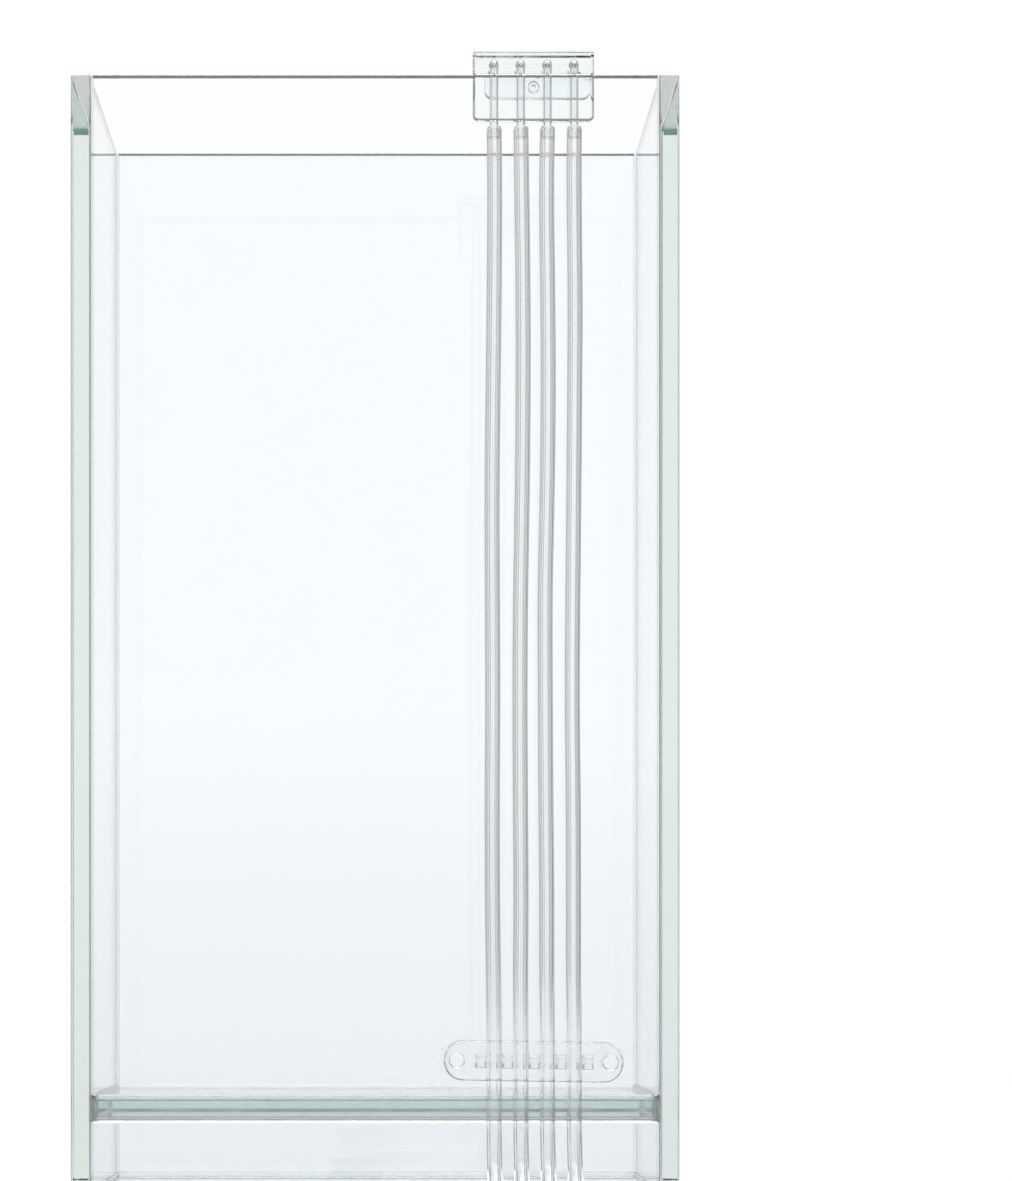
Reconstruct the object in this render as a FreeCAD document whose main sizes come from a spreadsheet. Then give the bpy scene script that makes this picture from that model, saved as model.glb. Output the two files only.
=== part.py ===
import FreeCAD, Part
import math
import os
import re

# A tall glass aquarium tank with a sealed shelf near its base, four soft air hoses hung
# over its front rim by a clear saddle, and a clear comb that keeps the hoses apart.
# X runs along the front, Y from front to back, Z up. The origin is the middle of the
# underside. All sizes are in millimetres.

SIZES = {
    # glass tank
    "tank_width": 240,  # outside, along X
    "tank_depth": 120,  # outside, along Y
    "tank_height": 450,
    "glass": 8,  # thickness of every pane
    "arris": 0.9,  # bevel ground on every pane edge
    "film": 0.6,  # silicone between two bonded panes
    "bead": 1.6,  # leg of the silicone bead along an inside corner
    "shelf_height": 38,  # table to the shelf's underside
    # air hoses
    "hose_pitch": 10.45,
    "hose_width": 6,  # outside diameter
    "hose_stand": 0.6,  # comb's plate to the hoses
    "hose_drop": 23.4,  # rim to the hoses' upper ends
    "hose_split": 50,  # where the hanging length ends and the tail begins
    # saddle on the rim
    "rail_x": 62.3,  # middle of the saddle and of the hoses
    "rail_end": 8.175,  # outermost hose's axis to the saddle's end
    "rail_wall": 3,
    "rail_play": 0.3,  # clearance to the glass on each face
    "rail_rise": 8.5,  # above the rim
    "rail_drop": 19.4,  # below the rim, outside
    "rail_round": 2.6,  # its bottom corners
    "lip_end": 5.325,  # outermost hose's axis to the lip's end, before the shift
    "lip_shift": 2,  # lip's middle to the right of the saddle's
    "lip_drop": 8.2,  # below the rim, inside
    "lip_round": 3.4,  # its bottom corners
    # rigid elbows in the saddle
    "elbow_width": 3.4,  # outside diameter
    "elbow_bore": 1.8,
    "elbow_bend": 3.4,  # radius of the bend at its axis
    "elbow_rise": 2.4,  # its level leg's axis above the rim
    "elbow_bite": 4.3,  # how far an elbow reaches into its hose
    "elbow_reach": 2.4,  # past the lip, into the tank
    "elbow_play": 0.05,  # radial clearance in the saddle and in the hose
    # clamp screw
    "screw_width": 4,
    "screw_height": 6,  # its axis below the rim
    "screw_play": 0.05,
    "screw_tip": 0.1,  # tip to glass when slack
    "socket_width": 1.5,  # across flats
    "socket_depth": 1.8,
    # comb and its suction cups
    "comb_height": 61,  # table to the comb's middle
    "comb_end": 12.4,  # outermost post to the plate's end
    "comb_width": 16,
    "comb_thick": 2.2,
    "comb_stand": 2.2,  # glass to the plate's back
    "comb_tilt": 0.9,  # degrees, right end down
    "post_play": 0.125,  # hose to the post on each side of it
    "post_tall": 5.5,
    "post_past": 0.4,  # posts stand out past the hoses
    "cup_inset": 5.2,  # plate's end to the cup's middle
    "cup_width": 14,
    "cup_stud": 6.2,
    "cup_head": 7.2,
    "cup_head_thick": 0.8,
    "cup_hollow": 1.2,  # depth of the hollow under its foot
    "cup_rim": 0.6,  # width of the flat round that hollow
    "cup_play": 0.05,
    # hoses' tails, from the hanging length to the coil
    "tail_run": 20,  # between the corners where a hose bends onto the table
    "tail_turn": 30,  # degrees, at each of those corners
    "tail_drift": 55,  # length on the table in which a hose shifts to its lane
    # hoses' coil on the table
    "coil_middle_y": -180,
    "coil_inner": 26,  # radius of the innermost hose's axis
    "coil_gap": 0.4,  # between neighbouring hoses
    "coil_lift": 0.3,  # rise in one turn, above a hose's width
    "coil_turns": 2,
    "coil_play": 0.2,
    "tie_thick": 1,
    "tie_width": 3.6,
    "tie_bite": 0.3,  # how far the tie sinks into the hoses
    # cutting tools
    "past": 1,  # how far a drill runs past each face of the piece
}
HOSES = (1, 2, 3, 4)
NEAR = 1e-3  # two places closer than this are the same
ARC_SHARE = 0.45  # of the shorter run at a corner, taken by the arc from that run
DRIFT_SHARES = (0.15, 0.7)  # of a hose's shift to its lane, at landing and half-way along

document = FreeCAD.newDocument("aquarium_tank")
sheet = document.addObject("Spreadsheet::Sheet", "Sizes")
for row, (alias, value) in enumerate(SIZES.items(), start=1):
    sheet.set(f"A{row}", alias)
    sheet.set(f"B{row}", str(value))
    sheet.setAlias(f"B{row}", alias)
document.recompute()

size_names = re.compile(r"\b(" + "|".join(SIZES) + r")\b")
nodes = []

# Places and sizes that several pieces share, as formulas of the sheet's names.
CHAMBER_WIDTH = "(tank_width - 2 * glass)"
CHAMBER_DEPTH = "(tank_depth - 2 * glass)"
HOSE_TOP = "(tank_height - hose_drop)"
HOSE_Y = "(-tank_depth / 2 - comb_stand - comb_thick - hose_stand - hose_width / 2)"
RAIL_WIDTH = "(3 * hose_pitch + 2 * rail_end)"
LIP_WIDTH = "(3 * hose_pitch + 2 * lip_end)"
RAIL_FRONT_Y = "(-tank_depth / 2 - rail_play - rail_wall)"
LIP_BACK_Y = "(-tank_depth / 2 + glass + rail_play + rail_wall)"
ELBOW_Z = "(tank_height + elbow_rise)"
SCREW_Z = "(tank_height - screw_height)"
POST_WIDTH = "(hose_pitch - hose_width - 2 * post_play)"
COMB_LENGTH = f"(4 * hose_pitch + {POST_WIDTH} + 2 * comb_end)"


def in_sheet(formula):
    """The formula with each size name pointed at its cell."""
    return size_names.sub(r"Sizes.\1", str(formula))


def size(name):
    """One size as a number, for the shapes that are computed here."""
    return float(sheet.get(name))


def bind(item, **formulas):
    """Tie properties of an object to formulas of the sheet's names."""
    for prop, formula in formulas.items():
        item.setExpression(prop, in_sheet(formula))


def place(item, x="0", y="0", z="0", yaw="0", pitch="0", roll="0"):
    """Put an object at a place, turned about X, then Y, then Z."""
    vector = f"create(<<vector>>; {x}; {y}; {z})"
    turn = f"create(<<rotation>>; {yaw}; {pitch}; {roll})"
    bind(item, Placement=f"create(<<placement>>; {vector}; {turn})")


def primitive(kind, label, where, **sizes):
    """A plain solid such as Part::Box, placed by the formulas in where."""
    item = document.addObject(kind, label)
    bind(item, **sizes)
    place(item, **where)
    return item


def fuse(label, *shapes):
    item = document.addObject("Part::MultiFuse", label)
    item.Shapes = list(shapes)
    item.Refine = True
    return item


def cut(label, base, tool):
    item = document.addObject("Part::Cut", label)
    item.Base = base
    item.Tool = tool
    item.Refine = True
    return item


def node(item):
    """Mark a finished piece, which is written under its own label."""
    nodes.append(item)
    return item


def body(label, **where):
    item = document.addObject("PartDesign::Body", label)
    place(item, **where)
    return item


def feature(owner, kind, label, where=None, **sizes):
    """A PartDesign feature of a body, with its sizes and its place in the body."""
    item = owner.newObject(kind, f"{owner.Label}_{label}")
    bind(item, **sizes)
    if where:
        place(item, **where)
    document.recompute()
    return item


def edges_where(shape, test):
    """Names of the straight edges whose two ends pass the test."""
    names = []
    for number, edge in enumerate(shape.Edges, start=1):
        if len(edge.Vertexes) == 2 and test(*[v.Point for v in edge.Vertexes]):
            names.append(f"Edge{number}")
    return names


def pane(label, width, depth, height, **corner):
    """A glass pane with every edge bevelled, from its lowest corner."""
    owner = body(label, **corner)
    block = feature(owner, "PartDesign::AdditiveBox", "block", Length=width, Width=depth, Height=height)
    bevel = owner.newObject("PartDesign::Chamfer", f"{label}_bevel")
    bevel.Base = (block, [f"Edge{n}" for n in range(1, 13)])
    bind(bevel, Size="arris")
    return node(owner)


def bead_frame(label, z, face_down):
    """A ring of silicone bead round the inside of the chamber, three-cornered in section.

    It stands up from z, or hangs down from it when face_down is set.
    """
    owner = body(
        label,
        x=f"-{CHAMBER_WIDTH} / 2",
        y=f"{CHAMBER_DEPTH} / 2" if face_down else f"-{CHAMBER_DEPTH} / 2",
        z=z,
        roll="180" if face_down else "0",
    )
    feature(
        owner,
        "PartDesign::AdditiveBox",
        "block",
        Length=CHAMBER_WIDTH,
        Width=CHAMBER_DEPTH,
        Height="bead",
    )
    ring = feature(
        owner,
        "PartDesign::SubtractiveBox",
        "middle",
        where={"x": "bead", "y": "bead"},
        Length=f"{CHAMBER_WIDTH} - 2 * bead",
        Width=f"{CHAMBER_DEPTH} - 2 * bead",
        Height="bead",
    )
    width = size("tank_width") - 2 * size("glass")
    depth = size("tank_depth") - 2 * size("glass")

    def inside_top(*ends):
        inner = all(NEAR < p.x < width - NEAR and NEAR < p.y < depth - NEAR for p in ends)
        return inner and all(abs(p.z - size("bead")) < NEAR for p in ends)

    slope = owner.newObject("PartDesign::Chamfer", f"{label}_slope")
    slope.Base = (ring, edges_where(ring.Shape, inside_top))
    bind(slope, Size="0.9 * bead")
    return owner


# ---- glass panes ----------------------------------------------------------------------


def make_panes():
    wall_z = "glass + film"
    wall_height = "tank_height - glass - film"
    between = f"{CHAMBER_WIDTH} - 2 * film"
    left = f"-{CHAMBER_WIDTH} / 2 + film"
    front = "-tank_depth / 2"
    pane("base_plate", "tank_width", "tank_depth", "glass", x="-tank_width / 2", y=front)
    pane("front_wall", between, "glass", wall_height, x=left, y=front, z=wall_z)
    pane("back_wall", between, "glass", wall_height, x=left, y="tank_depth / 2 - glass", z=wall_z)
    pane("left_wall", "glass", "tank_depth", wall_height, x="-tank_width / 2", y=front, z=wall_z)
    pane("right_wall", "glass", "tank_depth", wall_height, x="tank_width / 2 - glass", y=front, z=wall_z)
    return pane(
        "shelf_plate",
        f"{CHAMBER_WIDTH} - 2 * film",
        f"{CHAMBER_DEPTH} - 2 * film",
        "glass",
        x=f"-{CHAMBER_WIDTH} / 2 + film",
        y=f"-{CHAMBER_DEPTH} / 2 + film",
        z="shelf_height",
    )


# ---- silicone --------------------------------------------------------------------------


def make_corner_seams():
    """Four upright films between the ends of the front and back walls and the side walls."""
    for end, y in (("front", "-tank_depth / 2 + arris"), ("back", "tank_depth / 2 - glass + arris")):
        for side, x in (("left", f"-{CHAMBER_WIDTH} / 2"), ("right", f"{CHAMBER_WIDTH} / 2 - film")):
            node(
                primitive(
                    "Part::Box",
                    f"corner_seam_{end}_{side}",
                    {"x": x, "y": y, "z": "glass + film"},
                    Length="film",
                    Width="glass - 2 * arris",
                    Height="tank_height - glass - film - arris",
                )
            )


def make_base_seam():
    """The film under the four walls, with the bead inside them."""
    outer = primitive(
        "Part::Box",
        "base_seam_outer",
        {"x": "-tank_width / 2 + arris", "y": "-tank_depth / 2 + arris", "z": "glass"},
        Length="tank_width - 2 * arris",
        Width="tank_depth - 2 * arris",
        Height="film",
    )
    inner = primitive(
        "Part::Box",
        "base_seam_inner",
        {"x": f"-{CHAMBER_WIDTH} / 2", "y": f"-{CHAMBER_DEPTH} / 2", "z": "glass"},
        Length=CHAMBER_WIDTH,
        Width=CHAMBER_DEPTH,
        Height="film",
    )
    film = cut("base_seam_film", outer, inner)
    bead = bead_frame("base_seam_bead", "glass", face_down=False)
    node(fuse("base_seam", film, bead))


def make_shelf_seam(shelf):
    """The film round the shelf, with a bead above it and one below."""
    block = primitive(
        "Part::Box",
        "shelf_seam_block",
        {"x": f"-{CHAMBER_WIDTH} / 2", "y": f"-{CHAMBER_DEPTH} / 2", "z": "shelf_height"},
        Length=CHAMBER_WIDTH,
        Width=CHAMBER_DEPTH,
        Height="glass",
    )
    above = bead_frame("shelf_bead_above", "shelf_height + glass", face_down=False)
    below = bead_frame("shelf_bead_below", "shelf_height", face_down=True)
    node(cut("shelf_seam", fuse("shelf_seam_whole", block, above, below), shelf))


# ---- saddle, elbows and clamp screw ----------------------------------------------------


def round_bottom(owner, block, label, drop, radius):
    """Round the two bottom corners of the upright plate that block has just added."""
    low = size("tank_height") - size(drop)

    def bottom_corner(a, b):
        level = abs(a.z - low) < NEAR and abs(b.z - low) < NEAR
        return level and abs(a.x - b.x) < NEAR and abs(a.y - b.y) > NEAR

    fillet = owner.newObject("PartDesign::Fillet", f"{owner.Label}_{label}_round")
    fillet.Base = (block, edges_where(block.Shape, bottom_corner))
    bind(fillet, Radius=radius)
    document.recompute()


def make_saddle():
    """An inverted U over the front rim: outer plate, bridge and a narrower inner lip."""
    owner = body("rail_saddle")
    left = f"rail_x - {RAIL_WIDTH} / 2"
    plate = feature(
        owner,
        "PartDesign::AdditiveBox",
        "plate",
        where={"x": left, "y": RAIL_FRONT_Y, "z": "tank_height - rail_drop"},
        Length=RAIL_WIDTH,
        Width="rail_wall",
        Height="rail_drop + rail_rise",
    )
    round_bottom(owner, plate, "plate", "rail_drop", "rail_round")
    lip = feature(
        owner,
        "PartDesign::AdditiveBox",
        "lip",
        where={
            "x": f"rail_x + lip_shift - {LIP_WIDTH} / 2",
            "y": f"{LIP_BACK_Y} - rail_wall",
            "z": "tank_height - lip_drop",
        },
        Length=LIP_WIDTH,
        Width="rail_wall",
        Height="lip_drop + rail_rise / 2",
    )
    round_bottom(owner, lip, "lip", "lip_drop", "lip_round")
    feature(
        owner,
        "PartDesign::AdditiveBox",
        "bridge",
        where={"x": left, "y": RAIL_FRONT_Y, "z": "tank_height"},
        Length=RAIL_WIDTH,
        Width="glass + 2 * rail_play + 2 * rail_wall",
        Height="rail_rise",
    )
    feature(
        owner,
        "PartDesign::SubtractiveCylinder",
        "screw_hole",
        where={"x": "rail_x", "y": f"{RAIL_FRONT_Y} - past", "z": SCREW_Z, "roll": "-90"},
        Radius="screw_width / 2 + screw_play",
        Height="rail_wall + 2 * past",
    )
    hole = feature(
        owner,
        "PartDesign::SubtractiveCylinder",
        "elbow_hole",
        where={
            "x": "rail_x - 1.5 * hose_pitch",
            "y": f"{RAIL_FRONT_Y} - past",
            "z": ELBOW_Z,
            "roll": "-90",
        },
        Radius="elbow_width / 2 + elbow_play",
        Height="glass + 2 * rail_play + 2 * rail_wall + 2 * past",
    )
    holes = owner.newObject("PartDesign::LinearPattern", "rail_saddle_elbow_holes")
    holes.Originals = [hole]
    holes.Direction = (axis_of(owner, "X_Axis"), [""])
    holes.Occurrences = len(HOSES)
    bind(holes, Length=f"{len(HOSES) - 1} * hose_pitch")
    owner.Tip = holes
    node(owner)


def axis_of(owner, role):
    return next(item for item in owner.Origin.OriginFeatures if item.Role == role)


def bent_rod(label, x, radius):
    """A rod that stands in front of the saddle, bends, and runs back over the rim."""
    upright_z = f"({HOSE_TOP} - elbow_bite)"
    upright = primitive(
        "Part::Cylinder",
        f"{label}_upright",
        {"x": x, "y": HOSE_Y, "z": upright_z},
        Radius=radius,
        Height=f"{ELBOW_Z} - elbow_bend - {upright_z}",
    )
    bend = primitive(
        "Part::Torus",
        f"{label}_bend",
        {"x": x, "y": f"{HOSE_Y} + elbow_bend", "z": f"{ELBOW_Z} - elbow_bend", "yaw": "-90", "roll": "90"},
        Radius1="elbow_bend",
        Radius2=radius,
        Angle3="90",
    )
    level = primitive(
        "Part::Cylinder",
        f"{label}_level",
        {"x": x, "y": f"{HOSE_Y} + elbow_bend", "z": ELBOW_Z, "roll": "-90"},
        Radius=radius,
        Height=f"{LIP_BACK_Y} + elbow_reach - {HOSE_Y} - elbow_bend",
    )
    return fuse(f"{label}_rod", upright, bend, level)


def hose_x(number):
    """Where a hose hangs, as a formula."""
    return f"(rail_x + {number - 2.5} * hose_pitch)"


def make_elbows():
    for number in HOSES:
        outside = bent_rod(f"elbow_{number}_outside", hose_x(number), "elbow_width / 2")
        inside = bent_rod(f"elbow_{number}_inside", hose_x(number), "elbow_bore / 2")
        node(cut(f"elbow_{number}", outside, inside))


def make_clamp_screw():
    """A headless screw with a six-sided socket, in the saddle's outer plate."""
    shank = primitive(
        "Part::Cylinder",
        "clamp_screw_shank",
        {"x": "rail_x", "y": RAIL_FRONT_Y, "z": SCREW_Z, "roll": "-90"},
        Radius="screw_width / 2",
        Height="rail_wall + rail_play - screw_tip",
    )
    socket = primitive(
        "Part::Prism",
        "clamp_screw_socket",
        {"x": "rail_x", "y": RAIL_FRONT_Y, "z": SCREW_Z, "roll": "-90"},
        Circumradius="socket_width / sqrt(3)",
        Height="socket_depth",
    )
    socket.Polygon = 6
    node(cut("clamp_screw", shank, socket))


# ---- comb and suction cups -------------------------------------------------------------

# The comb's pieces share a frame on the front glass: x along the plate, y up it and z
# away from the glass.
COMB_FRAME = {
    "x": "rail_x",
    "y": "-tank_depth / 2",
    "z": "comb_height",
    "pitch": "comb_tilt",
    "roll": "90",
}


def make_comb():
    owner = body("comb_plate", **COMB_FRAME)
    straight = f"({COMB_LENGTH} - comb_width)"
    feature(
        owner,
        "PartDesign::AdditiveBox",
        "plate",
        where={"x": f"-{straight} / 2", "y": "-comb_width / 2", "z": "comb_stand"},
        Length=straight,
        Width="comb_width",
        Height="comb_thick",
    )
    for side, sign in (("left", "-1"), ("right", "1")):
        feature(
            owner,
            "PartDesign::AdditiveCylinder",
            f"{side}_end",
            where={"x": f"{sign} * {straight} / 2", "z": "comb_stand"},
            Radius="comb_width / 2",
            Height="comb_thick",
        )
    for side, sign in (("left", "-1"), ("right", "1")):
        feature(
            owner,
            "PartDesign::SubtractiveCylinder",
            f"{side}_hole",
            where={"x": f"{sign} * ({COMB_LENGTH} / 2 - cup_inset)", "z": "comb_stand - past"},
            Radius="cup_stud / 2 + cup_play",
            Height="comb_thick + 2 * past",
        )
    post = feature(
        owner,
        "PartDesign::AdditiveBox",
        "post",
        where={
            "x": f"-2 * hose_pitch - {POST_WIDTH} / 2",
            "y": "-post_tall / 2",
            "z": "comb_stand + comb_thick / 2",
        },
        Length=POST_WIDTH,
        Width="post_tall",
        Height="comb_thick / 2 + hose_stand + hose_width + post_past",
    )
    posts = owner.newObject("PartDesign::LinearPattern", "comb_plate_posts")
    posts.Originals = [post]
    posts.Direction = (axis_of(owner, "X_Axis"), [""])
    posts.Occurrences = len(HOSES) + 1
    bind(posts, Length=f"{len(HOSES)} * hose_pitch")
    owner.Tip = posts
    node(owner)


def make_suction_cups():
    """A cup at each end: hollow foot on the glass, stud through the plate, flat head."""
    for side, sign in (("left", "-1"), ("right", "1")):
        owner = body(f"suction_cup_{side}", **COMB_FRAME)
        x = f"{sign} * ({COMB_LENGTH} / 2 - cup_inset)"
        feature(
            owner,
            "PartDesign::AdditiveCone",
            "foot",
            where={"x": x},
            Radius1="cup_width / 2",
            Radius2="cup_head / 2",
            Height="comb_stand",
        )
        feature(
            owner,
            "PartDesign::AdditiveCylinder",
            "stud",
            where={"x": x, "z": "comb_stand / 2"},
            Radius="cup_stud / 2",
            Height="comb_stand / 2 + comb_thick + cup_head_thick / 2",
        )
        feature(
            owner,
            "PartDesign::AdditiveCylinder",
            "head",
            where={"x": x, "z": "comb_stand + comb_thick"},
            Radius="cup_head / 2",
            Height="cup_head_thick",
        )
        feature(
            owner,
            "PartDesign::SubtractiveCone",
            "hollow",
            where={"x": x},
            Radius1="cup_width / 2 - cup_rim",
            Radius2="cup_stud / 4",
            Height="cup_hollow",
        )
        node(owner)


# ---- hoses -----------------------------------------------------------------------------


def make_hanging_hoses():
    """The straight hanging length of each hose, pushed over its elbow at the top.

    Returns the four outer cylinders, whose places the tails start from.
    """
    lengths = []
    for number in HOSES:
        where = {"x": hose_x(number), "y": HOSE_Y, "z": "hose_split"}
        outside = primitive(
            "Part::Cylinder",
            f"hose_{number}_outside",
            where,
            Radius="hose_width / 2",
            Height=f"{HOSE_TOP} - hose_split",
        )
        inside = primitive(
            "Part::Cylinder",
            f"hose_{number}_inside",
            where,
            Radius="elbow_width / 2 + elbow_play",
            Height=f"{HOSE_TOP} - hose_split",
        )
        node(cut(f"hose_{number}", outside, inside))
        lengths.append(outside)
    return lengths


def lane_x(number):
    """Where a hose lies on the table on its way into the coil."""
    return coil_x() + coil_radius(number)


def coil_x():
    """The coil's middle, which puts the four lanes centrally under the four hoses."""
    return size("rail_x") - (coil_radius(HOSES[0]) + coil_radius(HOSES[-1])) / 2


def coil_radius(number):
    return size("coil_inner") + (number - 1) * (size("hose_width") + size("coil_gap"))


def rounded_path(points):
    """A wire of straight runs joined by tangent arcs, whose radii it prints."""
    edges = []
    start = points[0]
    radii = []
    for before, corner, after in zip(points, points[1:], points[2:]):
        back = before - corner
        ahead = after - corner
        shorter = min(back.Length, ahead.Length)
        turn = math.pi - back.getAngle(ahead)
        tangent = ARC_SHARE * shorter
        radii.append(tangent / math.tan(turn / 2))
        back.normalize()
        ahead.normalize()
        inward = back + ahead
        inward.normalize()
        into = corner + back * tangent
        out = corner + ahead * tangent
        middle_distance = radii[-1] / math.cos(turn / 2) - radii[-1]
        middle = corner + inward * middle_distance
        edges.append(Part.LineSegment(start, into).toShape())
        edges.append(Part.Arc(into, middle, out).toShape())
        start = out
    edges.append(Part.LineSegment(start, points[-1]).toShape())
    print("  bend radii", [round(radius, 1) for radius in radii])
    return Part.Wire(edges)


def make_hose_tails(hanging):
    """Each hose's lower end: it comes down, bends onto the table and runs to the coil."""
    radius = size("hose_width") / 2
    turn = math.radians(size("tail_turn"))
    short = size("tail_run") * math.sin(turn)
    long = size("tail_run") * math.cos(turn)
    drift = size("tail_drift")
    for number, upper in zip(HOSES, hanging):
        x, y, split = upper.Placement.Base
        lane = lane_x(number)
        at_landing, half_way = (x + share * (lane - x) for share in DRIFT_SHARES)
        landing = y - short - long
        points = [
            FreeCAD.Vector(x, y, split),
            FreeCAD.Vector(x, y, radius + short + long),
            FreeCAD.Vector(x, y - short, radius + short),
            FreeCAD.Vector(at_landing, landing, radius),
            FreeCAD.Vector(half_way, landing - drift / 2, radius),
            FreeCAD.Vector(lane, landing - drift, radius),
            FreeCAD.Vector(lane, size("coil_middle_y"), radius),
        ]
        path = rounded_path(points)
        section = Part.Circle(points[0], FreeCAD.Vector(0, 0, 1), radius)
        tube = path.makePipeShell([Part.Wire(section.toShape())], True, True)
        ratio = tube.Volume / (math.pi * radius**2 * path.Length)
        print(f"hose_tail_{number}", round(path.Length, 1), "mm, volume ratio", round(ratio, 4))
        item = document.addObject("Part::Feature", f"hose_tail_{number}")
        item.Shape = tube
        node(item)


def make_coil():
    """The outer shape of the four hoses' shared coil, and the tie that holds it."""
    inner = size("coil_inner") - size("hose_width") / 2 - size("coil_play")
    outer = coil_radius(HOSES[-1]) + size("hose_width") / 2 + size("coil_play")
    tall = size("hose_width") + size("coil_turns") * (size("hose_width") + size("coil_lift"))
    middle = FreeCAD.Vector(coil_x(), size("coil_middle_y"), 0)
    ring = Part.makeCylinder(outer, tall, middle).cut(Part.makeCylinder(inner, tall, middle))
    coil = document.addObject("Part::Feature", "hose_coil")
    coil.Shape = ring
    node(coil)

    thick = size("tie_thick")
    wide = size("tie_width")
    bite = size("tie_bite")
    corner = middle + FreeCAD.Vector(-wide / 2, -outer - thick + bite, 0)
    band = Part.makeBox(wide, outer - inner + 2 * (thick - bite), tall + thick - bite, corner)
    hollow_corner = corner + FreeCAD.Vector(0, thick, thick)
    hollow = Part.makeBox(wide, outer - inner - 2 * bite, tall - thick - bite, hollow_corner)
    tie = document.addObject("Part::Feature", "coil_tie")
    tie.Shape = band.cut(hollow)
    node(tie)


# ---- build, check and write ------------------------------------------------------------


def check_document():
    for item in document.Objects:
        if "Invalid" in item.State or "Error" in item.State:
            raise RuntimeError(f"{item.Label} failed: {item.State}")
    labels = [item.Label for item in nodes]
    if len(set(labels)) != len(labels):
        raise RuntimeError("two pieces share a label")
    for item in nodes:
        if item.Shape.isNull() or not item.Shape.isValid() or not item.Shape.Solids:
            raise RuntimeError(f"{item.Label} has no valid solid")
        if len(item.Shape.Solids) != 1:
            raise RuntimeError(f"{item.Label} has {len(item.Shape.Solids)} solids")


def write_nodes():
    os.makedirs("parts", exist_ok=True)
    for item in nodes:
        item.Shape.exportStep(f"parts/{item.Label}.step")
        print(item.Label, round(item.Shape.Volume, 1))


shelf = make_panes()
document.recompute()
make_corner_seams()
make_base_seam()
make_shelf_seam(shelf)
make_saddle()
make_elbows()
make_clamp_screw()
make_comb()
make_suction_cups()
hanging = make_hanging_hoses()
document.recompute()
make_hose_tails(hanging)
make_coil()
document.recompute()
check_document()
write_nodes()
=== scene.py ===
import math

import bmesh
import bpy
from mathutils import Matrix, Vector


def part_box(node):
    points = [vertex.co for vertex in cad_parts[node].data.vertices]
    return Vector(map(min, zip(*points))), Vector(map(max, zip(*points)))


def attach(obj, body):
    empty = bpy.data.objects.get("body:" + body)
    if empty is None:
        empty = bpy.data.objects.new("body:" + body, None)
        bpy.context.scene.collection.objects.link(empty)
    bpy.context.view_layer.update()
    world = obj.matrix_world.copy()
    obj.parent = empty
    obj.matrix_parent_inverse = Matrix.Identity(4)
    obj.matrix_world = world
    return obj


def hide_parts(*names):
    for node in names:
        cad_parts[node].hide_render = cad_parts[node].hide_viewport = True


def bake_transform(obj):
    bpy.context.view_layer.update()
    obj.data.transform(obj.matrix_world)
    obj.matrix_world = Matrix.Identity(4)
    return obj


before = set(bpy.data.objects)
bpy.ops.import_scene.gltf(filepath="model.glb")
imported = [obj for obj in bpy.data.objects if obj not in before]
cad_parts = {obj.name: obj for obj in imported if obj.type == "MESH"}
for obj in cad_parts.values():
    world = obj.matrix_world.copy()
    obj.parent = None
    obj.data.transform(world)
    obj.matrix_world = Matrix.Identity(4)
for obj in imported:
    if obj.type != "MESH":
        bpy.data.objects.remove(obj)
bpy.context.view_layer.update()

bl_info = {
    "name": "Aquarium Tank",
    "version": (1, 0, 0),
    "blender": (4, 5, 0),
    "location": "View3D > Sidebar > Aquarium",
    "description": "Glass, silicone, hoses and fittings for a tall glass aquarium tank",
    "category": "Add Mesh",
}

MM = 0.001
ARRIS = 0.9 * MM  # bevel ground on every pane edge
SHARP = math.radians(30)  # edges that turn by more than this get rounded
EASED = 0.3 * MM  # rounding that takes the sharpness off a moulded edge
HOSES = (1, 2, 3, 4)
# each pane's CAD node and its finished piece
PANES = {
    "base_plate": "pane_base",
    "front_wall": "pane_front",
    "back_wall": "pane_back",
    "left_wall": "pane_left",
    "right_wall": "pane_right",
    "shelf_plate": "pane_shelf",
}


# ---- materials -------------------------------------------------------------------------


def linear(hex_colour):
    """An sRGB hex colour as linear red, green and blue."""
    parts = [int(hex_colour[i : i + 2], 16) / 255 for i in (1, 3, 5)]
    return [p / 12.92 if p <= 0.04045 else ((p + 0.055) / 1.055) ** 2.4 for p in parts]


def add_node(tree, kind, values=None, links=None, **settings):
    """Add a node with its own settings, its inputs' values and the outputs linked into it."""
    node = tree.nodes.new(kind)
    for name, value in settings.items():
        setattr(node, name, value)
    for name, value in (values or {}).items():
        node.inputs[name].default_value = value
    for name, output in (links or {}).items():
        tree.links.new(output, node.inputs[name])
    return node


def empty_material(name):
    """A new material with no nodes, and its node tree."""
    material = bpy.data.materials.new(name)
    material.use_nodes = True
    material.node_tree.nodes.clear()
    return material, material.node_tree


def let_lamps_through(tree, shader, volume=None):
    """Finish a clear material: lamps shine through it, so it casts no dark shadow."""
    path = add_node(tree, "ShaderNodeLightPath")
    open_air = add_node(tree, "ShaderNodeBsdfTransparent")
    mix = add_node(tree, "ShaderNodeMixShader", links={"Fac": path.outputs["Is Shadow Ray"]})
    tree.links.new(shader.outputs[0], mix.inputs[1])
    tree.links.new(open_air.outputs[0], mix.inputs[2])
    output = add_node(tree, "ShaderNodeOutputMaterial", links={"Surface": mix.outputs[0]})
    if volume:
        tree.links.new(volume.outputs[0], output.inputs["Volume"])


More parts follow.
